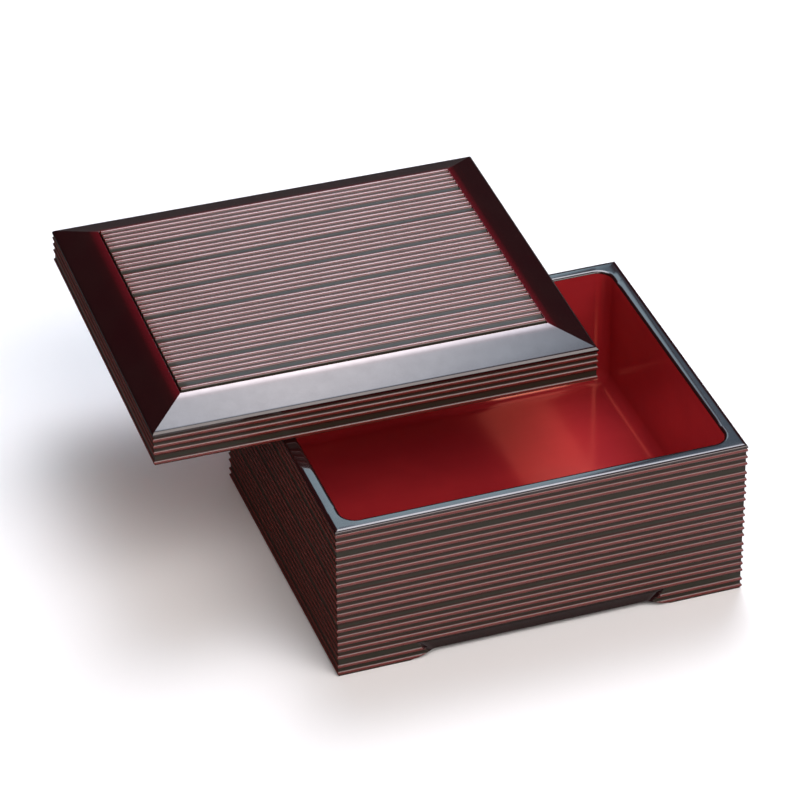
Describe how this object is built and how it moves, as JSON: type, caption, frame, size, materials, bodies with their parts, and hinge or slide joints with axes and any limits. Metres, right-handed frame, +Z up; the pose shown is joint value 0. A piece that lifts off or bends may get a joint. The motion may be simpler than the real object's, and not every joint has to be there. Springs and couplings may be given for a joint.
{
  "type": "lunch box",
  "caption": "Rectangular lacquered lunch box with finely ridged sides on low feet, a red inside, and a loose overlapping lid laid askew on its rim.",
  "frame": {"origin": "centre of the box's base, on the plane that its feet stand on", "axes": "+X along the box's length, to the right; +Y along its width, away from the front; +Z up"},
  "size_m": [0.2355, 0.2327, 0.0975],
  "materials": {
    "outside_lacquer": "polished near-black maroon lacquer",
    "inside_lacquer": "polished vermilion lacquer",
    "bare_wood": "bare, hidden in the joints"
  },
  "bodies": {
    "box": {"back_board": "outside_lacquer", "bottom_board": "inside_lacquer", "corner_filling_back_left": "inside_lacquer", "corner_filling_back_right": "inside_lacquer", "corner_filling_front_left": "inside_lacquer", "corner_filling_front_right": "inside_lacquer", "corner_key_back_left": "bare_wood", "corner_key_back_right": "bare_wood", "corner_key_front_left": "bare_wood", "corner_key_front_right": "bare_wood", "cove_filling_back": "inside_lacquer", "cove_filling_front": "inside_lacquer", "cove_filling_left": "inside_lacquer", "cove_filling_right": "inside_lacquer", "front_board": "outside_lacquer", "left_board": "outside_lacquer", "right_board": "outside_lacquer"},
    "lid": {"lid_back_rail": "outside_lacquer", "lid_backing_board": "inside_lacquer", "lid_front_rail": "outside_lacquer", "lid_key_back_left": "bare_wood", "lid_key_back_right": "bare_wood", "lid_key_front_left": "bare_wood", "lid_key_front_right": "bare_wood", "lid_left_rail": "outside_lacquer", "lid_ribbed_panel": "outside_lacquer", "lid_right_rail": "outside_lacquer"}
  },
  "joints": [
    {"name": "lid_lift", "type": "slide", "parent": "box", "child": "lid", "axis": [0, 0, 1], "range_m": [0, 0.12]}
  ]
}
